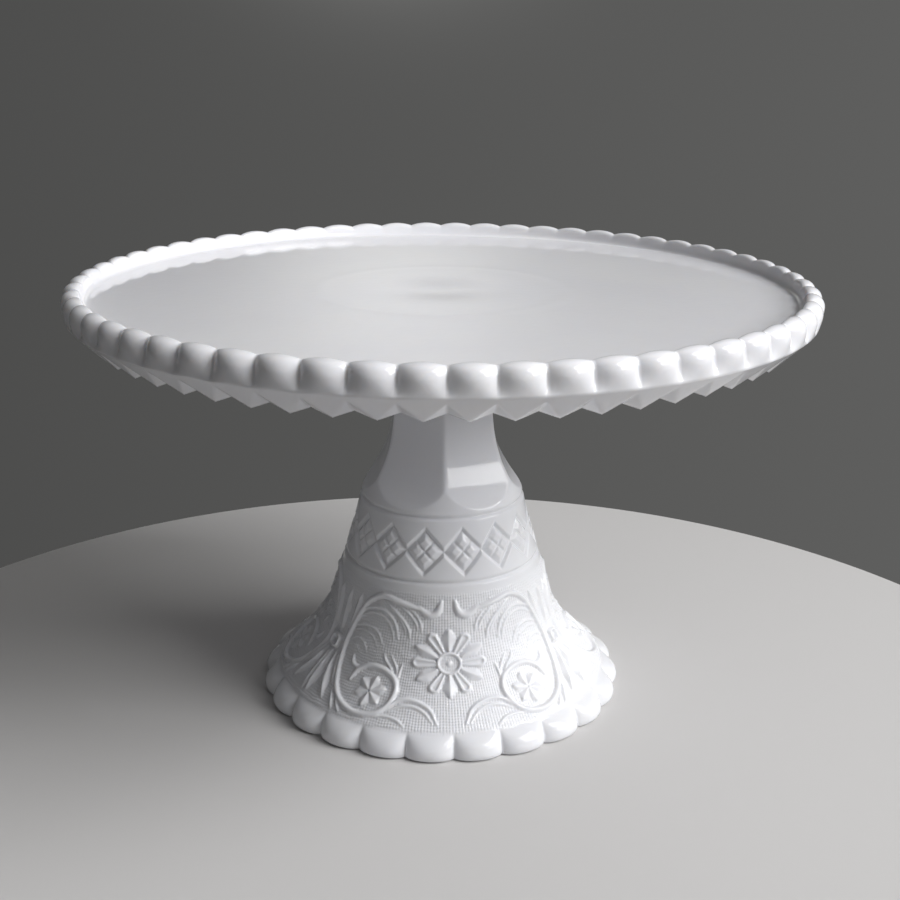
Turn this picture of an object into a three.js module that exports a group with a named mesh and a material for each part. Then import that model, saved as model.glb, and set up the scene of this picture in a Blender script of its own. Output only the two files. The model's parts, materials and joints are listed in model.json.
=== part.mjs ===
// Pressed-glass cake stand in opaque white glass: a round plate with a beaded rim, fused to a
// hollow pedestal with a six-sided stem, a grooved band, a bell-shaped skirt and a scalloped foot.
// Millimetres, +Z up. The origin is at the centre of the foot, on the surface it stands on, and
// the front of the stand faces -Y. Angles are measured from the front, towards +X.
import * as THREE from "three";

// ---- Driving dimensions -------------------------------------------------------------------

// Plate
const plateTopZ = 168.6;          // flat surface that carries the cake
const plateThickness = 6.6;
const plateFlatRadius = 137;      // edge of the flat surface, at the foot of the rim's inner wall
const undersideFlatRadius = 121;  // edge of the flat underside
const beadCount = 60;
const beadRowRadius = 141.8;      // ring along the tops of the beads
const beadTopZ = 174.3;
const beadHeight = 1.1;           // how far a bead stands above the valleys beside it
const rimOuterRadius = 146;       // beads
const rimValleyInset = 2.9;       // outer wall between two beads
const rimInnerRadius = 139;       // inner edge of the rim's top
const beadFoot = { radius: 144.9, z: 164 };   // lower edge of the beads' outer faces
const lipTip = { radius: 134.5, z: 153.9 };   // points of the toothed lower edge, under each bead
const lipNotch = { radius: 134.6, z: 156.7 };  // notches of the toothed edge, between beads
const lipInset = 5.5;             // how far inside the toothed edge the lip meets the underside
const plateTurn = THREE.MathUtils.degToRad(-1.64);  // how the plate was set on the stem

// Joining wafer, the gather of glass that fuses plate and pedestal
const waferRadius = 27;
const waferThickness = 3;

// Pedestal
const stemSides = 6;              // one edge of the stem faces the front
const scallopCount = 24;
const footTurn = THREE.MathUtils.degToRad(2);  // from the stem's front edge to the nearest cleft
const scallopDepth = 3;           // how far the clefts between two scallops cut in
const footOuterRadius = 75.8;
const footSeatInnerRadius = 66.5; // inner edge of the flat ring that the stand rests on
const footSeatOuterRadius = 74.6;
const skirtEndZ = 9.5;            // top of the scalloped edge
const grooveDepth = 1;
const grooveHalfWidth = 0.7;
const upperGrooveZ = 84.1;
const lowerGrooveZ = 59.4;

// Resolution: three steps for each bead, and six for each scallop, which suits the six stem edges
const plateSegments = beadCount * 3;
const pedestalSegments = scallopCount * 6;
const waferSegments = 48;

const plateUndersideZ = plateTopZ - plateThickness;
const pedestalTopZ = plateUndersideZ - waferThickness;

// ---- Curves, each a list of [height, radius] knots ------------------------------------------

// Distance from the axis to the flat of each stem facet.
const facetKnots = [
  [86.5, 32.7], [89, 30.3], [92, 28], [95.5, 26], [101.8, 23.2], [110, 21], [120, 19.8],
  [132, 19.6], [142, 20.6], [150, 23.5], [156, 27.2], [159.5, 29.5],
];

// The round body that the facets are cut from: band, shoulder and top collar.
const roundBodyKnots = [
  [59.4, 40.4], [68, 38], [76, 35.6], [84.1, 33.7], [88, 32.6], [93, 31], [98, 30], [110, 30],
  [140, 30], [153, 29.6], [159.5, 28.8],
];

// The bell-shaped skirt, from the lower groove to the scalloped edge.
const skirtKnots = [
  [9.5, 69], [14, 64], [18.6, 59.2], [22, 56], [27.2, 51.8], [36, 47.3], [45, 44.4], [53.8, 41.8],
  [59.4, 40.4],
];

// The hollow inside, left by the plunger that pressed the glass.
const hollowKnots = [
  [0, 66.5], [8, 61], [17, 53], [28, 45.4], [42, 39.6], [62, 33.2], [84, 24.6], [104, 15.4],
  [130, 9.8], [137, 6], [139.5, 0],
];

// Smooth value between knots: a Catmull-Rom cubic in the height.
function valueAt(knots, height) {
  const last = knots.length - 2;
  const found = knots.findIndex((knot, index) => index > 0 && height <= knot[0]);
  const i = found < 0 ? last : found - 1;
  const slope = (a, b) => (knots[b][1] - knots[a][1]) / (knots[b][0] - knots[a][0]);
  const step = knots[i + 1][0] - knots[i][0];
  const startSlope = i > 0 ? slope(i - 1, i + 1) : slope(i, i + 1);
  const endSlope = i < last ? slope(i, i + 2) : slope(i, i + 1);
  const t = (height - knots[i][0]) / step;
  const blend = t * t * (3 - 2 * t);
  return knots[i][1] * (1 - blend) + knots[i + 1][1] * blend
    + step * (startSlope * t * (1 - t) ** 2 - endSlope * t * t * (1 - t));
}

// ---- Turned bodies whose outline varies around the axis --------------------------------------

// A station is a function of the angle that gives [radius, height], and a turn where the whole
// ring of points is turned. The stations run up the outside and back to the axis, so the turned
// body is closed.
function turnedBody(stations, segments) {
  const outline = stations.map((station) => new THREE.Vector2(...station(0)));
  const geometry = new THREE.LatheGeometry(outline, segments);
  const position = geometry.attributes.position;
  for (let index = 0; index < position.count; index++) {
    const column = Math.floor(index / stations.length) % segments;
    const angle = (column / segments) * 2 * Math.PI;
    const [radius, height, turn = 0] = stations[index % stations.length](angle);
    position.setXYZ(index, radius * Math.sin(angle + turn), height, radius * Math.cos(angle + turn));
  }
  geometry.rotateX(Math.PI / 2);
  geometry.computeVertexNormals();
  return geometry;
}

const ring = (radius, height) => () => [radius, height];

// 0 in the cleft between two lobes and 1 across the top of each lobe.
function lobePhase(angle, count) {
  return Math.min(1, Math.abs(Math.sin((count * angle) / 2)) / Math.sin(Math.PI / 3));
}

function between(valley, crest, count) {
  return (angle) => {
    const phase = lobePhase(angle, count);
    return valley.map((value, index) => value + (crest[index] - value) * phase);
  };
}

// ---- Plate ----------------------------------------------------------------------------------

function plateGeometry() {
  const valleyOuterRadius = rimOuterRadius - rimValleyInset;
  const valleyTopZ = beadTopZ - beadHeight;
  const sideZ = (beadFoot.z + beadTopZ) / 2 - 0.8;
  const shoulderZ = beadTopZ - 2;
  const lipMiddle = (lipTip.radius + lipNotch.radius) / 2;
  const stations = [
    ring(0, plateUndersideZ),
    ring(undersideFlatRadius, plateUndersideZ),
    between([lipMiddle - lipInset, lipNotch.z], [lipMiddle - lipInset, lipTip.z + 1.5], beadCount),
    between([lipNotch.radius, lipNotch.z], [lipTip.radius, lipTip.z], beadCount),
    ring(beadFoot.radius, beadFoot.z),
    between([valleyOuterRadius, sideZ], [rimOuterRadius, sideZ], beadCount),
    between([valleyOuterRadius - 1, shoulderZ - 0.8], [rimOuterRadius - 0.9, shoulderZ], beadCount),
    between([beadRowRadius, valleyTopZ], [beadRowRadius, beadTopZ], beadCount),
    between([rimInnerRadius + 0.3, valleyTopZ - 0.4], [rimInnerRadius, beadTopZ - 0.9], beadCount),
    ring(plateFlatRadius, plateTopZ),
    ring(0, plateTopZ),
  ];
  return turnedBody(stations, plateSegments).rotateZ(plateTurn);
}

// ---- Joining wafer --------------------------------------------------------------------------

function waferGeometry() {
  const geometry = new THREE.CylinderGeometry(waferRadius, waferRadius, waferThickness, waferSegments);
  return geometry.rotateX(Math.PI / 2);
}

// ---- Pedestal -------------------------------------------------------------------------------

// Six flats cut into the round body: the smaller of the two radii is what is left.
function stemStation(height) {
  const facet = valueAt(facetKnots, height);
  const body = valueAt(roundBodyKnots, height);
  const facetPitch = (2 * Math.PI) / stemSides;
  return (angle) => {
    const offCentre = ((angle % facetPitch) + facetPitch) % facetPitch - facetPitch / 2;
    return [Math.min(body, facet / Math.cos(offCentre)), height];
  };
}

function grooveStations(height) {
  const radius = valueAt(roundBodyKnots, height);
  return [
    ring(valueAt(roundBodyKnots, height - grooveHalfWidth), height - grooveHalfWidth),
    ring(radius - grooveDepth, height),
    ring(valueAt(roundBodyKnots, height + grooveHalfWidth), height + grooveHalfWidth),
  ];
}

function pedestalGeometry() {
  const hollowTop = hollowKnots.length - 1;
  const cleft = (radius) => radius - scallopDepth;
  const skirtEndRadius = valueAt(skirtKnots, skirtEndZ);
  const scalloped = (radius, height) => {
    const station = between([cleft(radius), height], [radius, height], scallopCount);
    return (angle) => [...station(angle), footTurn];
  };
  const stations = [
    ...hollowKnots.map(([height, radius]) => ring(radius, height)).reverse().slice(0, hollowTop),
    ring(footSeatInnerRadius, 0),
    scalloped(footSeatOuterRadius, 0),
    scalloped(footOuterRadius, 2.4),
    scalloped(74.2, 5.8),
    ring(skirtEndRadius, skirtEndZ),
    ...[14, 20, 27, 36, 48].map((height) => ring(valueAt(skirtKnots, height), height)),
    ...grooveStations(lowerGrooveZ),
    ring(valueAt(roundBodyKnots, 72.5), 72.5),
    ...grooveStations(upperGrooveZ),
    ...[87.5, 91, 95, 101, 110, 132, 147, pedestalTopZ].map(stemStation),
    ring(0, pedestalTopZ),
  ];
  return turnedBody(stations, pedestalSegments);
}

// ---- Assembly -------------------------------------------------------------------------------

function milkGlass() {
  return new THREE.MeshStandardMaterial({ color: 0xeef1f4, roughness: 0.12, metalness: 0 });
}

function piece(name, geometry) {
  const mesh = new THREE.Mesh(geometry, milkGlass());
  mesh.name = name;
  return mesh;
}

const cakeStand = new THREE.Group();

const pedestal = piece("pedestal", pedestalGeometry());
cakeStand.add(pedestal);

const wafer = piece("joining_wafer", waferGeometry());
wafer.position.z = pedestalTopZ + waferThickness / 2;
cakeStand.add(wafer);

const plate = piece("plate", plateGeometry());
cakeStand.add(plate);

export default cakeStand;
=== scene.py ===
"""Visual model of a pressed milk-glass cake stand: plate, joining wafer and pedestal.

The CAD frame gives the places and sizes. This script makes the fine surface around them: the beads
and teeth of the rim, the six-sided stem, the band of diamonds, and the scrolls and daisies on the
stippled ground of the skirt. The modelling functions work in millimetres, and piece() turns them
into metres. Angles are in degrees, measured round the axis from the front (-Y) towards +X.
"""

import json
import math

import bpy
import numpy as np
from mathutils import Matrix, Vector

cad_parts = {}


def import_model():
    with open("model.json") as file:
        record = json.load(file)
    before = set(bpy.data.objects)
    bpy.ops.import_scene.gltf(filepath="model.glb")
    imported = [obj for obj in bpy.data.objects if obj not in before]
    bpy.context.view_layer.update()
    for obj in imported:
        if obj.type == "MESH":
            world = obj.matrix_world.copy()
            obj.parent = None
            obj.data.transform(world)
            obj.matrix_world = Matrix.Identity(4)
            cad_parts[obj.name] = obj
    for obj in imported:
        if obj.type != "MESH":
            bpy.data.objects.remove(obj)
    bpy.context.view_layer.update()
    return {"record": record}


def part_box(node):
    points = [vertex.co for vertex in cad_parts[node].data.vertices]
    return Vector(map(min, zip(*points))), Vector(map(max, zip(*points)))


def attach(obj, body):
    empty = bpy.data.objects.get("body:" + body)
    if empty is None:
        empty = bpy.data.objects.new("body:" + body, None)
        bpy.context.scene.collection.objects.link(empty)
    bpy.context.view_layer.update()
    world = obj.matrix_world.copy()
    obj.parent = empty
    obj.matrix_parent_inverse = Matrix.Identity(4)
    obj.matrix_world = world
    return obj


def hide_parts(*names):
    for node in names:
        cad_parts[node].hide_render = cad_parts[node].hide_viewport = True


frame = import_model()

MM = 1000.0


# ---- Places and sizes from the frame --------------------------------------------------------

def box_mm(node):
    low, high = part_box(node)
    return np.array(low) * MM, np.array(high) * MM


mounts = {mount["name"]: mount for mount in frame["record"]["mounts"]}
PLATE_TOP_Z = mounts["plate_top"]["pos_m"][2] * MM
LIP_TIP_Z = box_mm("plate")[0][2]
WAFER_LOW_Z = box_mm("joining_wafer")[0][2]
WAFER_HIGH_Z = box_mm("joining_wafer")[1][2]
WAFER_RADIUS = box_mm("joining_wafer")[1][0]

# Rim of the plate
BEAD_COUNT = 60
BEAD_STEPS = 20              # columns of faces to a bead
PLATE_TURN = -1.64           # degrees that the plate was turned when it was set on the stem
LIP_RADIUS = 134.5           # points of the toothed lower edge
LIP_NOTCH = (134.6, 156.7)   # radius and height of the notches between them
LIP_GROOVE_RADIUS = 142.8    # where the grooves between the teeth run out
UNDERSIDE_FLAT_RADIUS = 121.0
LIP_START_RADIUS = 118.0     # innermost ring of the lip
PLATE_COLUMNS = 300          # columns of faces in the plain part of the plate

# Pedestal
SCALLOP_COUNT = 24
SCALLOP_STEPS = 36           # columns of faces to a scallop
SCALLOP_TURN = 2.0           # degrees from the front to the nearest cleft
ORNAMENT_TURN = 1.5          # degrees from the front to the nearest daisy
DIAMOND_TURN = -0.7          # degrees from the front to the nearest crossing of the diamonds
DIAMOND_COUNT = 15
DIAMOND_STEPS = 50           # columns of faces to a diamond
STEM_SIDES = 6
STEM_STEPS = 60              # columns of faces to a side of the stem
UPPER_GROOVE_Z = 84.1
LOWER_GROOVE_Z = 59.4
STIPPLE_TOP_Z = 56.0
STIPPLE_HEIGHT = 0.62        # of the dots
SCALLOP_TOP_Z = 9.5
FOOT_RADIUS = 75.8           # across the scallops
DOT_CHANGE_Z = 31.0          # below this height the stippled ground has more columns of dots
DOT_COLUMNS_HIGH = 250
DOT_COLUMNS_LOW = 350
STEPS_PER_DOT = 3
DOT_ROW_PITCH = 1.15
FACE_PITCH = DOT_ROW_PITCH / STEPS_PER_DOT
ROUND_COLUMNS = 180          # columns of faces in plain round surfaces

# Curves shared with the CAD bodies: [height, radius] knots.
FACET_KNOTS = [
    [86.5, 32.7], [89, 30.3], [92, 28], [95.5, 26], [101.8, 23.2], [110, 21], [120, 19.8],
    [132, 19.6], [142, 20.6], [150, 23.5], [156, 27.2], [159.5, 29.5],
]
BODY_KNOTS = [
    [59.4, 40.4], [68, 38], [76, 35.6], [84.1, 33.7], [88, 32.6], [93, 31], [98, 30], [110, 30],
    [140, 30], [153, 29.6], [159.5, 28.8],
]
SKIRT_KNOTS = [
    [9.5, 69], [14, 64], [18.6, 59.2], [22, 56], [27.2, 51.8], [36, 47.3], [45, 44.4],
    [53.8, 41.8], [59.4, 40.4],
]
HOLLOW_KNOTS = [
    [0, 66.5], [8, 61], [17, 53], [28, 45.4], [42, 39.6], [62, 33.2], [84, 24.6], [104, 15.4],
    [130, 9.8], [137, 6], [139.5, 0],
]


# ---- Curves ---------------------------------------------------------------------------------

def value_at(knots, heights):
    """Smooth radius at each height: a Catmull-Rom cubic through [height, radius] knots."""
    x, y = np.array(knots, float).T
    slopes = np.empty_like(x)
    slopes[1:-1] = (y[2:] - y[:-2]) / (x[2:] - x[:-2])
    slopes[0] = (y[1] - y[0]) / (x[1] - x[0])
    slopes[-1] = (y[-1] - y[-2]) / (x[-1] - x[-2])
    i = np.clip(np.searchsorted(x, heights) - 1, 0, len(x) - 2)
    step = x[i + 1] - x[i]
    t = (heights - x[i]) / step
    blend = t * t * (3 - 2 * t)
    lean = slopes[i] * t * (1 - t) ** 2 - slopes[i + 1] * t * t * (1 - t)
    return y[i] * (1 - blend) + y[i + 1] * blend + step * lean


def smooth_line(points, steps=6):
    """Catmull-Rom curve through plane points."""
    p = np.array(points, float)
    if len(p) == 2:
        return p
    p = np.vstack([2 * p[0] - p[1], p, 2 * p[-1] - p[-2]])
    t = np.linspace(0, 1, steps, endpoint=False)[:, None]
    pieces = []
    for a, b, c, d in zip(p, p[1:], p[2:], p[3:]):
        pieces.append(0.5 * (2 * b + (c - a) * t + (2 * a - 5 * b + 4 * c - d) * t**2
                             + (3 * b - a - 3 * c + d) * t**3))
    return np.vstack([*pieces, p[-2][None]])


def even_heights(knots, low, high, pitch):
    """Heights from low to high whose distance along the outline is even."""
    z = np.linspace(low, high, 2000)
    along = outline_length(knots, z)
    count = max(2, round((along[-1] - along[0]) / pitch))
    return np.interp(np.linspace(along[0], along[-1], count + 1), along, z)


def outline_length(knots, heights):
    """Distance along the outline, counted from the first of the heights."""
    radius = value_at(knots, heights)
    return np.concatenate([[0], np.cumsum(np.hypot(np.diff(heights), np.diff(radius)))])


def smooth_step(value, low, high):
    t = np.clip((value - low) / (high - low), 0, 1)
    return t * t * (3 - 2 * t)


def soft_min(a, b, width):
    """The smaller of two values, with the corner between them rounded over that width."""
    h = np.clip(0.5 + 0.5 * (b - a) / width, 0, 1)
    return b * (1 - h) + a * h - width * h * (1 - h)


# ---- Meshes from rings ----------------------------------------------------------------------

def circle(radius, z, count):
    """A ring of points round the axis; radius and z are numbers or one value for each point."""
    angle = np.arange(count) * 2 * np.pi / count
    return np.stack([radius * np.sin(angle), -radius * np.cos(angle), z + 0 * angle], 1)


def column_angles(count):
    return np.arange(count) * 360.0 / count


def stitch(lower, lower_start, upper, upper_start):
    """Faces between two neighbouring rings, as an array of vertex numbers."""
    n, m = len(lower), len(upper)
    if n == m:
        i = np.arange(n)
        j = (i + 1) % n
        return np.stack([lower_start + i, lower_start + j, upper_start + j, upper_start + i], 1)
    if n == 1:
        i = np.arange(m)
        return np.stack([np.full(m, lower_start), upper_start + (i + 1) % m, upper_start + i], 1)
    if m == 1:
        i = np.arange(n)
        return np.stack([lower_start + i, lower_start + (i + 1) % n, np.full(n, upper_start)], 1)
    faces = []
    i = j = 0
    while i < n or j < m:
        if j >= m or (i < n and (i + 1) / n <= (j + 1) / m):
            faces.append((lower_start + i, lower_start + (i + 1) % n, upper_start + j % m))
            i += 1
        else:
            faces.append((lower_start + i % n, upper_start + (j + 1) % m, upper_start + j))
            j += 1
    return np.array(faces)


def piece(name, rings, nodes, material, turn=0.0):
    """One closed smooth-shaded mesh from its rings, riding on the stand in place of CAD nodes."""
    starts = np.concatenate([[0], np.cumsum([len(ring) for ring in rings])])
    faces = []
    for k in range(len(rings) - 1):
        faces.append(stitch(rings[k], starts[k], rings[k + 1], starts[k + 1]))
    points = np.vstack(rings)
    c, s = math.cos(math.radians(turn)), math.sin(math.radians(turn))
    points = points @ np.array([[c, s, 0], [-s, c, 0], [0, 0, 1]])
    sizes = np.concatenate([np.full(len(f), f.shape[1]) for f in faces])
    corners = np.concatenate([f.ravel() for f in faces])
    mesh = bpy.data.meshes.new(name)
    mesh.vertices.add(len(points))
    mesh.vertices.foreach_set("co", (points / MM).astype(np.float32).ravel())
    mesh.loops.add(len(corners))
    mesh.loops.foreach_set("vertex_index", corners.astype(np.int32))
    mesh.polygons.add(len(sizes))
    loop_starts = np.concatenate([[0], np.cumsum(sizes)[:-1]])
    mesh.polygons.foreach_set("loop_start", loop_starts.astype(np.int32))
    mesh.update(calc_edges=True)
    mesh.validate()
    mesh.shade_smooth()
    mesh.materials.append(material)
    made = bpy.data.objects.new(name, mesh)
    bpy.context.scene.collection.objects.link(made)
    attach(made, "root")
    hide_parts(*nodes)


def relief_rings(knots, heights, count, relief):
    """Rings that follow an outline, with each point moved along the outline's normal by
    relief(angles, heights, radii, distances along the outline)."""
    radius = value_at(knots, heights)
    lean = np.gradient(radius, heights)
    length = np.hypot(lean, 1)
    along = np.interp(heights, ORNAMENT_HEIGHTS, ORNAMENT_ALONG)
    angles = column_angles(count)
    raised = relief(angles[None, :], heights[:, None], radius[:, None], along[:, None])
    radii = radius[:, None] + raised / length[:, None]
    z = heights[:, None] - raised * (lean / length)[:, None]
    return [circle(radii[k], z[k], count) for k in range(len(heights))]


# ---- Ornament of the skirt ------------------------------------------------------------------
# It is one design, mirrored and repeated: sixths of the skirt run from a daisy (0 degrees) to a
# hub (60 degrees). Its points are (angle, height) on the skirt.

ORNAMENT_HEIGHTS = np.linspace(0, 160, 3201)
ON_SKIRT = np.clip(ORNAMENT_HEIGHTS, SCALLOP_TOP_Z, LOWER_GROOVE_Z)
ORNAMENT_ALONG = outline_length(SKIRT_KNOTS, ON_SKIRT) \
    + np.clip(ORNAMENT_HEIGHTS - LOWER_GROOVE_Z, 0, None)
DAISY_CENTRE = (0, 29.6)
HUB_CENTRE = (60, 28.8)
FLOWER_CENTRE = (31.7, 18.5)

# (half width, height, points); both ends taper.
SCROLLS = [
    # The large scroll: from the fishtail by the daisy, over the plumes, round the small flower.
    (1.25, 1.35, [(13.4, 49), (24.6, 50.8), (35.2, 52.2), (43.8, 49), (49, 42.8), (52.2, 36),
                 (53.2, 30), (51.8, 24.5), (48.8, 19.5), (44.6, 15.2), (39.4, 12.8), (33.8, 11.8),
                 (28.4, 12.4), (24.2, 14.6), (21.9, 18), (21.6, 21.2), (23.8, 24), (29.3, 25.9),
                 (35.7, 25.8), (40.4, 23.4), (42.4, 20)]),
    # Its fishtail, a plump crescent.
    (1.6, 1.4, [(15.6, 49.9), (11, 47.6), (7.8, 47.4), (5, 49), (3.6, 52.6)]),
    # Leaf that curls off the flower's circle.
    (1.1, 1.0, [(46, 27.4), (44.4, 25), (41, 24.2), (37.4, 25.8)]),
    # Plumes inside the scroll, in pairs.
    (0.65, 0.85, [(49.4, 42.4), (45, 45.6), (37.8, 47), (30.9, 45.6), (26.6, 41.8), (25, 36.8)]),
    (0.55, 0.7, [(50, 40.4), (44.4, 43.8), (37.2, 44.8), (31.2, 42.8), (28.2, 39.4), (27, 36)]),
    (0.6, 0.8, [(50.8, 37.6), (44.1, 39.4), (36.6, 38.2), (32.4, 33.8)]),
    (0.5, 0.65, [(51, 35.8), (44.6, 37.2), (38.4, 35.8), (35, 32.4)]),
    (0.55, 0.7, [(51.6, 31.8), (47.8, 33.6), (42.8, 32.8), (39.6, 29.6)]),
    (0.45, 0.6, [(51.2, 29.8), (47, 31), (43.8, 29)]),
    # Plumes that fall from the top of the scroll towards the daisy.
    (0.65, 0.8, [(35.4, 50.8), (29.3, 48), (23.4, 44.6), (19.9, 41), (18.9, 37.6)]),
    (0.5, 0.65, [(30.6, 48.2), (25.4, 45), (22.2, 41.6), (21.2, 39)]),
    (0.55, 0.75, [(26, 49.6), (20.4, 47.2), (16.4, 43.8), (15.2, 41)]),
    (0.5, 0.7, [(20.2, 48.8), (16.3, 46.6), (13.9, 43.6), (13.5, 40.6)]),
    # Three sprigs where the circle comes nearest to the daisy.
    (0.65, 0.8, [(30.5, 31.2), (29, 28.9), (25.9, 26.6), (23.2, 24)]),
    (0.65, 0.8, [(26.8, 30.9), (24.4, 28.4), (22.8, 26.2), (22.2, 22.8)]),
    (0.65, 0.8, [(20.7, 28.4), (21.3, 26.4), (22, 22.6)]),
    # Arcs below the daisy.
    (0.95, 1.0, [(27.2, 12.4), (23.4, 14.8), (20, 17.2), (16.3, 18), (11.7, 17.4), (7.4, 15.4),
                 (4.9, 11.6)]),
    (0.7, 0.8, [(24, 13.8), (18.3, 15.9), (14, 16.2), (9.6, 14.8), (6.4, 11.9)]),
    (0.75, 0.8, [(28.4, 11.9), (22.8, 12.6), (18.6, 12), (15.9, 10.5)]),
]

# Spear leaves that spread from the hub: (half width, height, points).
SPEARS = [
    (1.9, 1.5, [(60, 32.2), (60, 50.4)]),
    (1.7, 1.5, [(54.6, 32.2), (53.2, 38), (51.2, 46), (50.6, 50.2)]),
    (2.9, 1.9, [(59.4, 25.8), (58.8, 11.2)]),
    (2.4, 1.8, [(56.6, 26), (54, 18.8), (49.8, 12)]),
    (1.2, 1.3, [(55, 26.4), (51.9, 21.4), (48.7, 16.6)]),
    (1.0, 1.2, [(47.4, 15.4), (45.6, 13.2), (43.6, 10.5)]),
    (0.8, 1.1, [(44.2, 14.2), (42.4, 12.4), (40.2, 10.5)]),
]


def folded(angles):
    """The angle within its mirrored sixth: 0 at a daisy, 60 at a hub."""
    return np.abs((angles + 60) % 120 - 60)


def along_at(z):
    return np.interp(z, ORNAMENT_HEIGHTS, ORNAMENT_ALONG)


def from_point(angle, along, radius, centre):
    """Millimetres across and up from a centre, measured on the skirt."""
    return radius * np.radians(angle - centre[0]), along - along_at(centre[1])


def nearest_on_line(angle, along, radius, points):
    """Distance to a curve on the skirt, and how far along it the nearest point is, 0 to 1."""
    line = smooth_line(points)
    line = np.column_stack([line[:, 0], along_at(line[:, 1])])
    best = np.full(np.broadcast(angle, along).shape, 1e9)
    where = np.zeros_like(best)
    for k, (a, b) in enumerate(zip(line, line[1:])):
        x = radius * np.radians(angle - a[0])
        y = along - a[1]
        ex = radius * math.radians(b[0] - a[0])
        ey = b[1] - a[1]
        t = np.clip((x * ex + y * ey) / (ex**2 + ey**2), 0, 1)
        gap = np.hypot(x - t * ex, y - t * ey)
        nearer = gap < best
        best = np.where(nearer, gap, best)
        where = np.where(nearer, (k + t) / (len(line) - 1), where)
    return best, where


def along_span(points):
    """Rough length of a curve on the skirt, in millimetres."""
    degree, slope = 0.85, 1.2    # length of a degree, and of the outline over a height of 1
    steps = np.diff(np.array(points, float), axis=0)
    return np.hypot(degree * steps[:, 0], slope * steps[:, 1]).sum()


def scroll_height(angle, along, radius, half_width, height, points):
    """A rounded cord in relief, narrower at its ends."""
    gap, where = nearest_on_line(angle, along, radius, points)
    taper = min(0.3, 5.5 / along_span(points))    # share of the cord that narrows at each end
    ends = np.clip(np.minimum(where, 1 - where) / taper, 0, 1)
    width = half_width * (0.4 + 0.6 * np.sqrt(ends))
    return height * (0.6 + 0.4 * ends) * np.clip(1 - (gap / width) ** 2, 0, 1) ** 0.7


def spear_height(angle, along, radius, half_width, height, points):
    """A lozenge leaf with a ridge along its middle."""
    gap, where = nearest_on_line(angle, along, radius, points)
    width = half_width * np.minimum(where / 0.6, (1 - where) / 0.4) + 0.3
    return height * np.minimum(1, width / half_width + 0.3) * np.clip(1 - gap / width, 0, 1) ** 0.8


def kite_height(x, y, direction, start, widest, tip, half_width, height):
    """A ridged kite-shaped petal that points away from its flower's centre."""
    c, s = math.cos(math.radians(direction)), math.sin(math.radians(direction))
    out = x * s + y * c
    across = np.abs(x * c - y * s)
    inner = 0.3 + 0.7 * (out - start) / (widest - start)
    outer = np.sqrt(np.clip((tip - out) / (tip - widest), 0, 1))
    width = half_width * np.clip(np.minimum(inner, outer), 1e-3, 1)
    inside = (out > start) & (out < tip)
    return np.where(inside, height * np.clip(1 - across / width, 0, 1) ** 0.75, 0)


def grooved_petal_height(x, y, direction, start, end, half_width, height):
    """A round-ended petal: a raised border round a groove."""
    c, s = math.cos(math.radians(direction)), math.sin(math.radians(direction))
    out = x * s + y * c
    across = np.abs(x * c - y * s)
    shoulder = end - half_width
    narrow = 0.5 + 0.5 * np.clip((out - start) / (shoulder - start), 0, 1)
    beyond = np.clip(out - shoulder, 0, None)
    share = np.hypot(across / (half_width * narrow), beyond / half_width)
    border = np.clip(1 - ((share - 0.6) / 0.4) ** 2, 0, 1)
    groove = 0.5 * (share < 0.6)
    return np.where((out > start) & (share < 1), height * np.maximum(border, groove), 0)


def ring_height(gap, middle, half_width, height):
    return height * np.clip(1 - ((gap - middle) / half_width) ** 2, 0, 1) ** 0.7


def daisy_height(angle, along, radius):
    """Twelve petals, six of them ridged and six grooved, round a dish with a boss in it."""
    x, y = from_point(angle, along, radius, DAISY_CENTRE)
    x, y = x * 0.94, y * 1.04    # it is a little wider than it is tall
    gap = np.hypot(x, y)
    height = ring_height(gap, 4.15, 0.8, 1.2)
    height = np.maximum(height, np.where(gap < 4.15, 0.25, 0))
    height = np.maximum(height, ring_height(gap, 0, 1.4, 0.9))
    for hour in range(12):
        if hour % 2 == 0:
            petal = kite_height(x, y, hour * 30, 4.9, 10.2, 14, 3.0, 1.45)
        else:
            petal = grooved_petal_height(x, y, hour * 30, 4.9, 14, 2.35, 1.15)
        height = np.maximum(height, petal)
    return height


def flower_height(angle, along, radius):
    x, y = from_point(angle, along, radius, FLOWER_CENTRE)
    height = np.zeros_like(x + y)
    for petal in range(6):
        shape = kite_height(x, y, petal * 60 - 12, 0.4, 4.4, 6.6, 2.5, 1.2)
        height = np.maximum(height, shape)
    return height


def hub_height(angle, along, radius):
    """A squarish ring round a hollow."""
    x, y = from_point(angle, along, radius, HUB_CENTRE)
    gap = (np.abs(x) ** 3 + np.abs(y) ** 3) ** (1 / 3)
    return np.maximum(ring_height(gap, 2.3, 0.9, 1.9), np.where(gap < 2.3, 0.1, 0))


def stipple_height(angle, z, along, dots):
    """Rows and columns of small dots, a little uneven; the columns dominate."""
    columns = np.cos(np.radians(angle) * dots)
    waver = 0.9 * np.sin(np.radians(angle) * 23 + 0.35 * z) + 0.7 * np.sin(np.radians(angle) * 61)
    rows = np.cos(2 * np.pi * along / DOT_ROW_PITCH + waver)
    strength = 0.85 + 0.15 * np.sin(np.radians(angle) * 37 + 1.3 * along)
    dot = np.clip(0.5 + 0.5 * columns, 0, 1) * (0.62 + 0.38 * rows) * strength
    return STIPPLE_HEIGHT * dot * (1 - smooth_step(z, STIPPLE_TOP_Z - 2, STIPPLE_TOP_Z))


def skirt_relief(dots):
    def relief(angles, z, radius, along):
        angle = folded(angles - ORNAMENT_TURN)
        height = stipple_height(angles, z, along, dots)
        for half_width, top, points in SCROLLS:
            shape = scroll_height(angle, along, radius, half_width, top, points)
            height = np.maximum(height, shape)
        for half_width, top, points in SPEARS:
            shape = spear_height(angle, along, radius, half_width, top, points)
            height = np.maximum(height, shape)
        for motif in (daisy_height, flower_height, hub_height):
            height = np.maximum(height, motif(angle, along, radius))
        return height
    return relief


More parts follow.
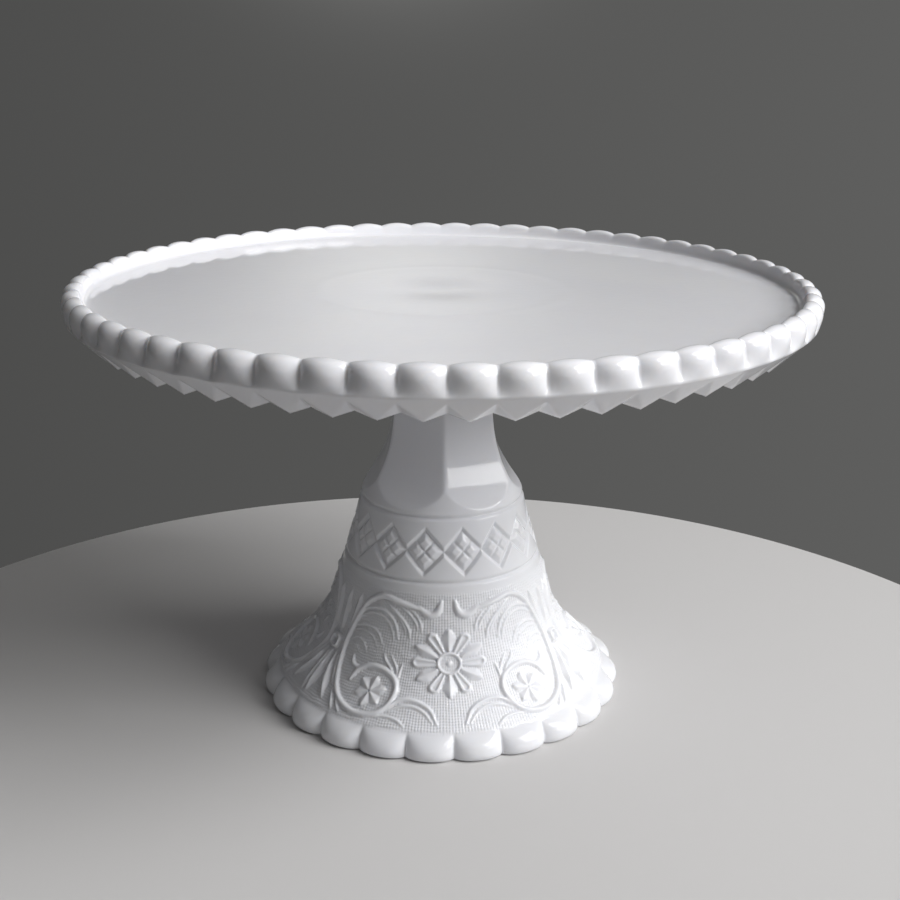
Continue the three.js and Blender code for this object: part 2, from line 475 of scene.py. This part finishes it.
# ---- Band of diamonds -----------------------------------------------------------------------

BAND_MIDDLE_Z = 71.2
BAND_HALF_HEIGHT = 7.8
BAND_LOW_Z = LOWER_GROOVE_Z - 1.5     # the rings of the band take in both grooves
BAND_HIGH_Z = UPPER_GROOVE_Z + 1.4
BAND_FACE_PITCH = 0.4
DIAMOND_DEPTH = 1.3
GROOVE_DEPTH = 1.0
GROOVE_HALF_WIDTH = 0.75


def band_relief(angles, z, radius, along):
    """Diamonds between two grooves: each is a field of four small ones inside a wide V groove."""
    half = 180.0 / DIAMOND_COUNT
    a = (((angles - DIAMOND_TURN) % (2 * half)) - half) / half
    b = (z - BAND_MIDDLE_Z) / BAND_HALF_HEIGHT
    p, q = np.abs(a + b), np.abs(a - b)
    reach = np.maximum(p, q)
    field = np.clip((1 - reach) / 0.4, 0, 1)
    cross = np.clip(1 - np.minimum(p, q) / 0.15, 0, 1)
    inside = -DIAMOND_DEPTH * (1 - field * (1 - 0.6 * cross))
    outside = -DIAMOND_DEPTH * np.clip(1 - (reach - 1) / 0.24, 0, 1) ** 1.3
    height = np.where(reach < 1, inside, outside)
    for groove_z in (UPPER_GROOVE_Z, LOWER_GROOVE_Z):
        height = height - GROOVE_DEPTH * np.exp(-((z - groove_z) / GROOVE_HALF_WIDTH) ** 2)
    return height


# ---- Stem and foot --------------------------------------------------------------------------

FLARE_TOP_Z = 98.0           # the flare above the band has closer rings than the stem over it
NO_FACET = 99.0              # a radius outside the body, where the facets don't cut it


def stem_rings(heights, count):
    """Six facets cut into a round body, each a little full across, with softened edges."""
    pitch = 360.0 / STEM_SIDES
    off_centre = (column_angles(count) % pitch) - pitch / 2
    rings = []
    for z in heights:
        facet = value_at(FACET_KNOTS, z) if z > FACET_KNOTS[0][0] else NO_FACET
        flat = facet / np.cos(np.radians(off_centre)) + 0.3 * (1 - (2 * off_centre / pitch) ** 2)
        edge = facet / math.cos(math.radians(pitch / 2))
        flat = soft_min(flat, edge - 0.25, 0.5)
        rings.append(circle(soft_min(value_at(BODY_KNOTS, z), flat, 0.35), z, count))
    return rings


def lobe(count, angles, turn, power, fullness):
    """0 in the clefts between lobes, 1 in the middle of each lobe."""
    across = np.abs(2 * (((angles - turn) * count / 360.0) % 1) - 1)
    return (1 - across**power) ** fullness


def foot_rings(count):
    """The scalloped edge, from the flat seat up to the stippled ground."""
    bulge = lobe(SCALLOP_COUNT, column_angles(count), SCALLOP_TURN, 2.2, 0.75)
    top = value_at(SKIRT_KNOTS, SCALLOP_TOP_Z)
    rings = []
    # (height, radius in the clefts, radius across the scallops)
    for z, cleft, crest in [(0, 71.2, 73.6), (0.25, 71.9, 74.7), (0.9, 72.3, 75.5),
                            (2.2, 72.2, FOOT_RADIUS), (3.8, 71.8, 75.7), (5.4, 71.2, 75.0),
                            (6.8, 70.6, 73.8), (7.9, 70.0, 72.3), (8.8, 69.5, 70.6),
                            (SCALLOP_TOP_Z, top, top)]:
        rings.append(circle(cleft + (crest - cleft) * bulge, z, count))
    return rings


def pedestal_rings():
    hollow_z = np.linspace(HOLLOW_KNOTS[-1][0], 0, 40)[1:]
    rings = [circle(0, HOLLOW_KNOTS[-1][0], 1)]
    rings += [circle(value_at(HOLLOW_KNOTS, z), z, ROUND_COLUMNS) for z in hollow_z]
    rings += foot_rings(SCALLOP_STEPS * SCALLOP_COUNT)
    low_z = even_heights(SKIRT_KNOTS, SCALLOP_TOP_Z, DOT_CHANGE_Z, FACE_PITCH)[1:]
    high_z = even_heights(SKIRT_KNOTS, DOT_CHANGE_Z, BAND_LOW_Z, FACE_PITCH)[1:]
    low_count = DOT_COLUMNS_LOW * STEPS_PER_DOT
    high_count = DOT_COLUMNS_HIGH * STEPS_PER_DOT
    rings += relief_rings(SKIRT_KNOTS, low_z, low_count, skirt_relief(DOT_COLUMNS_LOW))
    rings += relief_rings(SKIRT_KNOTS, high_z, high_count, skirt_relief(DOT_COLUMNS_HIGH))
    band_knots = SKIRT_KNOTS[:-1] + BODY_KNOTS
    band_z = even_heights(band_knots, BAND_LOW_Z, BAND_HIGH_Z, BAND_FACE_PITCH)[1:]
    rings += relief_rings(band_knots, band_z, DIAMOND_STEPS * DIAMOND_COUNT, band_relief)
    flare_z = np.linspace(UPPER_GROOVE_Z + 1.8, FLARE_TOP_Z, 36)
    column_z = np.linspace(FLARE_TOP_Z + 1, WAFER_LOW_Z - 0.9, 42)
    rings += stem_rings(np.concatenate([flare_z, column_z]), STEM_STEPS * STEM_SIDES)
    # The rounded edge and flat top that meet the wafer.
    collar = value_at(BODY_KNOTS, WAFER_LOW_Z)
    rings.append(circle(collar - 0.4, WAFER_LOW_Z - 0.25, ROUND_COLUMNS))
    rings.append(circle(collar - 1, WAFER_LOW_Z, ROUND_COLUMNS))
    rings.append(circle(0, WAFER_LOW_Z, 1))
    return rings


# ---- Plate ----------------------------------------------------------------------------------

# Outline of the rim, from the foot of the beads over the top to the flat of the plate:
# radius and height in the clefts between beads, then radius and height along the beads.
RIM_OUTLINE = [
    (144.9, 164.0, 144.9, 164.0), (144.2, 165.3, 145.3, 165.5), (143.5, 166.8, 145.7, 167.1),
    (143.0, 168.4, 145.95, 168.5), (142.7, 169.9, 146.0, 169.9), (142.4, 171.1, 145.7, 171.2),
    (141.9, 172.1, 145.1, 172.4), (141.3, 172.75, 144.2, 173.35), (140.7, 173.1, 143.0, 174.0),
    (140.2, 173.1, 141.6, 174.3), (139.7, 172.85, 140.3, 174.2), (139.2, 172.4, 139.4, 173.7),
    (138.8, 171.7, 138.9, 172.6), (138.4, 170.8, 138.45, 171.1), (137.9, 169.7, 137.9, 169.8),
    (137.1, 168.95, 137.1, 168.95), (136.2, 168.65, 136.2, 168.65), (134.8, 168.6, 134.8, 168.6),
]


def plate_top_z(radius):
    """The carrying surface: level, with a shallow dish and a faint ring round its middle."""
    dish = -0.95 * np.exp(-((radius / 20) ** 2))
    step = 0.05 * np.exp(-(((radius - 49.5) / 3.5) ** 2))
    return PLATE_TOP_Z + dish + step


def waviness(x, y):
    """The slow unevenness of pressed glass, in millimetres."""
    return 0.035 * (np.sin(x / 17 + 0.6) * np.cos(y / 23 - 0.4) + np.sin((x + y) / 31 + 1.9)
                    + 0.5 * np.sin((x - 0.6 * y) / 11))


def lip_ring(angles, radius, z):
    """A ring of the toothed lip; V grooves between the teeth cut up and out from its edge."""
    share = (angles * BEAD_COUNT / 360.0) % 1
    off_groove = np.minimum(share, 1 - share) * 2
    outer = (LIP_GROOVE_RADIUS - radius) / (LIP_GROOVE_RADIUS - LIP_RADIUS)
    inner = (radius - LIP_START_RADIUS) / (LIP_RADIUS - LIP_START_RADIUS)
    reach = np.clip(min(outer, inner), 0.001, 1)
    cut = reach * np.clip(1 - off_groove / reach, 0, 1)
    notch_radius, notch_z = LIP_NOTCH
    return circle(radius + cut * (notch_radius - LIP_RADIUS), z + cut * (notch_z - LIP_TIP_Z),
                  len(angles))


def plate_rings():
    count = BEAD_COUNT * BEAD_STEPS
    angles = column_angles(count)
    bead = lobe(BEAD_COUNT, angles, 0, 2.0, 0.9)
    # The underside, flat at first and then falling to the points of the lip.
    rings = [circle(0, WAFER_HIGH_Z, 1)]
    for radius in (8, 20, 40, 60, 80, 100, 114):
        rings.append(circle(radius, WAFER_HIGH_Z, PLATE_COLUMNS))
    span = (UNDERSIDE_FLAT_RADIUS - 2, LIP_RADIUS + 6)
    for radius in np.linspace(LIP_START_RADIUS, LIP_RADIUS, 12):
        fall = smooth_step(radius, *span) / smooth_step(LIP_RADIUS, *span)
        rings.append(lip_ring(angles, radius, WAFER_HIGH_Z + (LIP_TIP_Z - WAFER_HIGH_Z) * fall))
    # The toothed wall, up to the foot of the beads.
    foot_radius, foot_z = RIM_OUTLINE[0][:2]
    for t in np.linspace(0, 1, 17)[1:-1]:
        radius = LIP_RADIUS + (foot_radius - LIP_RADIUS) * t
        rings.append(lip_ring(angles, radius, LIP_TIP_Z + (foot_z - LIP_TIP_Z) * t))
    # The beads and the inner wall of the rim, then the carrying surface.
    for cleft_r, cleft_z, bead_r, bead_z in smooth_line(RIM_OUTLINE, 2):
        radius = cleft_r + (bead_r - cleft_r) * bead
        rings.append(circle(radius, cleft_z + (bead_z - cleft_z) * bead, count))
    for radius in np.concatenate([np.linspace(133, 62, 30), np.linspace(60, 1, 60)]):
        ring = circle(radius, plate_top_z(radius), PLATE_COLUMNS)
        ring[:, 2] += waviness(ring[:, 0], ring[:, 1])
        rings.append(ring)
    rings.append(circle(0, plate_top_z(0) + waviness(0, 0), 1))
    return rings


# ---- Joining wafer --------------------------------------------------------------------------

def wafer_rings():
    """A squeezed disc of glass with a rounded, slightly uneven edge."""
    middle = (WAFER_LOW_Z + WAFER_HIGH_Z) / 2
    half = (WAFER_HIGH_Z - WAFER_LOW_Z) / 2
    angles = np.radians(column_angles(ROUND_COLUMNS))
    uneven = 0.25 * np.sin(3 * angles + 0.7) + 0.15 * np.sin(7 * angles)
    mean_radius = WAFER_RADIUS - 0.45
    rings = [circle(0, WAFER_LOW_Z, 1), circle(WAFER_RADIUS * 0.6, WAFER_LOW_Z, ROUND_COLUMNS)]
    for turn in np.radians(np.linspace(-90, 90, 15)):
        radius = mean_radius - half + half * math.cos(turn) + uneven
        rings.append(circle(radius, middle + half * math.sin(turn), ROUND_COLUMNS))
    rings.append(circle(WAFER_RADIUS * 0.6, WAFER_HIGH_Z, ROUND_COLUMNS))
    rings.append(circle(0, WAFER_HIGH_Z, 1))
    return rings


# ---- Materials ------------------------------------------------------------------------------

def link(tree, out_node, out_name, in_node, in_name):
    tree.links.new(out_node.outputs[out_name], in_node.inputs[in_name])


def milk_glass(name, colour, seed, gloss_range, specular):
    """Glossy opal glass: faint clouding in the colour, uneven gloss and a fire-polished skin."""
    material = bpy.data.materials.new(name)
    material.use_nodes = True
    tree = material.node_tree
    shader = tree.nodes["Principled BSDF"]
    shader.inputs["IOR"].default_value = 1.5
    shader.inputs["Specular IOR Level"].default_value = specular
    shader.inputs["Subsurface Weight"].default_value = 0.25
    shader.inputs["Subsurface Radius"].default_value = (1.0, 0.9, 0.8)
    shader.inputs["Subsurface Scale"].default_value = 0.003

    place = tree.nodes.new("ShaderNodeTexCoord")

    clouds = tree.nodes.new("ShaderNodeTexNoise")
    clouds.noise_dimensions = "4D"
    clouds.inputs["Scale"].default_value = 22
    clouds.inputs["Detail"].default_value = 4
    clouds.inputs["W"].default_value = seed
    link(tree, place, "Object", clouds, "Vector")
    tint = tree.nodes.new("ShaderNodeValToRGB")
    red, green, blue = colour
    tint.color_ramp.elements[0].position = 0.3
    tint.color_ramp.elements[0].color = (red * 0.965, green * 0.965, blue * 0.985, 1)
    tint.color_ramp.elements[1].position = 0.7
    tint.color_ramp.elements[1].color = (*colour, 1)
    link(tree, clouds, "Fac", tint, "Fac")
    link(tree, tint, "Color", shader, "Base Color")

    smears = tree.nodes.new("ShaderNodeTexNoise")
    smears.noise_dimensions = "4D"
    smears.inputs["Scale"].default_value = 60
    smears.inputs["Detail"].default_value = 3
    smears.inputs["W"].default_value = seed + 5
    link(tree, place, "Object", smears, "Vector")
    gloss = tree.nodes.new("ShaderNodeMapRange")
    gloss.inputs["From Min"].default_value = 0.3
    gloss.inputs["From Max"].default_value = 0.7
    gloss.inputs["To Min"].default_value = gloss_range[0]
    gloss.inputs["To Max"].default_value = gloss_range[1]
    link(tree, smears, "Fac", gloss, "Value")
    link(tree, gloss, "Result", shader, "Roughness")

    ripple = tree.nodes.new("ShaderNodeTexNoise")
    ripple.inputs["Scale"].default_value = 260
    ripple.inputs["Detail"].default_value = 2
    link(tree, place, "Object", ripple, "Vector")
    skin = tree.nodes.new("ShaderNodeBump")
    skin.inputs["Strength"].default_value = 0.12
    skin.inputs["Distance"].default_value = 0.0002
    link(tree, ripple, "Fac", skin, "Height")
    link(tree, skin, "Normal", shader, "Normal")
    return material


def plain_matte(name, colour, roughness):
    material = bpy.data.materials.new(name)
    material.use_nodes = True
    shader = material.node_tree.nodes["Principled BSDF"]
    shader.inputs["Base Color"].default_value = (*colour, 1)
    shader.inputs["Roughness"].default_value = roughness
    return material


# ---- The stand ------------------------------------------------------------------------------

PEDESTAL_COLOUR = (0.79, 0.795, 0.815)
# The plate is the same milk glass as the pedestal. Its lighter colour is painted light, standing
# in for the light that falls on its carrying surface.
PLATE_COLOUR_PAINTED_LIGHT = (0.885, 0.885, 0.91)

piece("pedestal_glass", pedestal_rings(), ["pedestal"],
      milk_glass("milk_glass_pedestal", PEDESTAL_COLOUR, 1.0, (0.07, 0.13), 0.26))
piece("wafer_glass", wafer_rings(), ["joining_wafer"],
      milk_glass("milk_glass_wafer", PEDESTAL_COLOUR, 4.0, (0.1, 0.18), 0.5))
# The plate's material carries the lighter colour of painted light.
piece("plate_glass", plate_rings(), ["plate"],
      milk_glass("milk_glass_plate_painted_light", PLATE_COLOUR_PAINTED_LIGHT, 8.0, (0.03, 0.07), 0.5), PLATE_TURN)


# ---- Floor, light and camera ----------------------------------------------------------------

# Metres
FLOOR_RADIUS = 0.281
FLOOR_PLACE = (-0.005, -0.057, -0.0002)    # a hair below the foot
AIM_HEIGHT = 0.1             # the lights point at this height on the axis

FLOOR_COLOUR = (0.61, 0.6, 0.595)


def floor():
    mesh = bpy.data.meshes.new("floor")
    angles = np.radians(np.arange(0, 360, 2))
    points = [(FLOOR_RADIUS * math.cos(a), FLOOR_RADIUS * math.sin(a), 0) for a in angles]
    mesh.from_pydata(points, [], [list(range(len(points)))])
    mesh.materials.append(plain_matte("floor_cloth", FLOOR_COLOUR, 0.9))
    made = bpy.data.objects.new("floor", mesh)
    made.location = FLOOR_PLACE
    bpy.context.scene.collection.objects.link(made)


def soft_light(name, azimuth, elevation, distance, size, watts):
    """A rectangular light aimed at the stand; its azimuth is counted as the angles are."""
    a, e = math.radians(azimuth), math.radians(elevation)
    data = bpy.data.lights.new(name, "AREA")
    data.shape = "RECTANGLE"
    data.size, data.size_y = size
    data.energy = watts
    lamp = bpy.data.objects.new(name, data)
    bpy.context.scene.collection.objects.link(lamp)
    reach = distance * math.cos(e)
    height = AIM_HEIGHT + distance * math.sin(e)
    lamp.location = (reach * math.sin(a), -reach * math.cos(a), height)
    lamp.rotation_euler = (math.pi / 2 - e, 0, a)


def world(colour, left, right, patch):
    """A dim room whose light grows from the left (-X) to the right, with a soft bright patch on
    the far wall, which the plate mirrors in its middle. The patch is given by its azimuth,
    elevation, sharpness and brightness."""
    made = bpy.data.worlds.new("room")
    made.use_nodes = True
    tree = made.node_tree
    back = tree.nodes["Background"]
    back.inputs["Color"].default_value = (*colour, 1)
    direction = tree.nodes.new("ShaderNodeTexCoord")
    parts = tree.nodes.new("ShaderNodeSeparateXYZ")
    link(tree, direction, "Generated", parts, "Vector")
    grow = tree.nodes.new("ShaderNodeMapRange")
    grow.inputs["From Min"].default_value = -1
    grow.inputs["From Max"].default_value = 1
    grow.inputs["To Min"].default_value = left
    grow.inputs["To Max"].default_value = right
    link(tree, parts, "X", grow, "Value")

    azimuth, elevation, sharpness, brightness = patch
    a, e = math.radians(azimuth), math.radians(elevation)
    toward = tree.nodes.new("ShaderNodeVectorMath")
    toward.operation = "DOT_PRODUCT"
    level = math.cos(e)
    toward.inputs[1].default_value = (level * math.sin(a), -level * math.cos(a), math.sin(e))
    link(tree, direction, "Generated", toward, 0)
    facing = tree.nodes.new("ShaderNodeMath")
    facing.operation = "MAXIMUM"
    facing.inputs[1].default_value = 0
    link(tree, toward, "Value", facing, 0)
    spot = tree.nodes.new("ShaderNodeMath")
    spot.operation = "POWER"
    spot.inputs[1].default_value = sharpness
    link(tree, facing, 0, spot, 0)
    total = tree.nodes.new("ShaderNodeMath")
    total.operation = "MULTIPLY_ADD"
    total.inputs[1].default_value = brightness
    link(tree, spot, 0, total, 0)
    link(tree, grow, "Result", total, 2)
    link(tree, total, 0, back, "Strength")
    bpy.context.scene.world = made


def camera():
    """A view 18 degrees down, from just left of the front. Distance and height in mm."""
    lens, sensor = 52.83, 36.0
    distance, height = 517.3, 269.3
    pitch, yaw, roll, azimuth = 0.3137, -0.0062, 0.0081, math.radians(-2.2)
    data = bpy.data.cameras.new("camera")
    data.lens, data.sensor_width = lens, sensor
    made = bpy.data.objects.new("camera", data)
    bpy.context.scene.collection.objects.link(made)
    cp, sp, cy, sy = math.cos(pitch), math.sin(pitch), math.cos(yaw), math.sin(yaw)
    right = np.array([cy, sy, 0])
    up = np.array([-sp * sy, sp * cy, cp])
    back = np.array([cp * sy, -cp * cy, sp])
    cr, sr = math.cos(roll), math.sin(roll)
    axes = np.column_stack([cr * right + sr * up, cr * up - sr * right, back])
    ca, sa = math.cos(azimuth), math.sin(azimuth)
    turn = np.array([[ca, -sa, 0], [sa, ca, 0], [0, 0, 1]])
    matrix = np.eye(4)
    matrix[:3, :3] = turn @ axes
    matrix[:3, 3] = turn @ np.array([0, -distance, height]) / MM
    made.matrix_world = Matrix(matrix.tolist())
    bpy.context.scene.camera = made


floor()
world((1.0, 1.0, 0.98), 0.034, 0.15, (180, 11, 190, 0.66))
soft_light("window_upper", 66, 46, 2.3, (1.4, 0.7), 32.5)
soft_light("window_lower", 66, 24, 2.3, (1.4, 0.7), 32.5)
soft_light("fill", -12, 14, 2.2, (1.4, 1.0), 0.9)
soft_light("ceiling", 0, 88, 1.9, (1.6, 1.6), 2.6)
camera()
bpy.context.scene.view_settings.view_transform = "Standard"
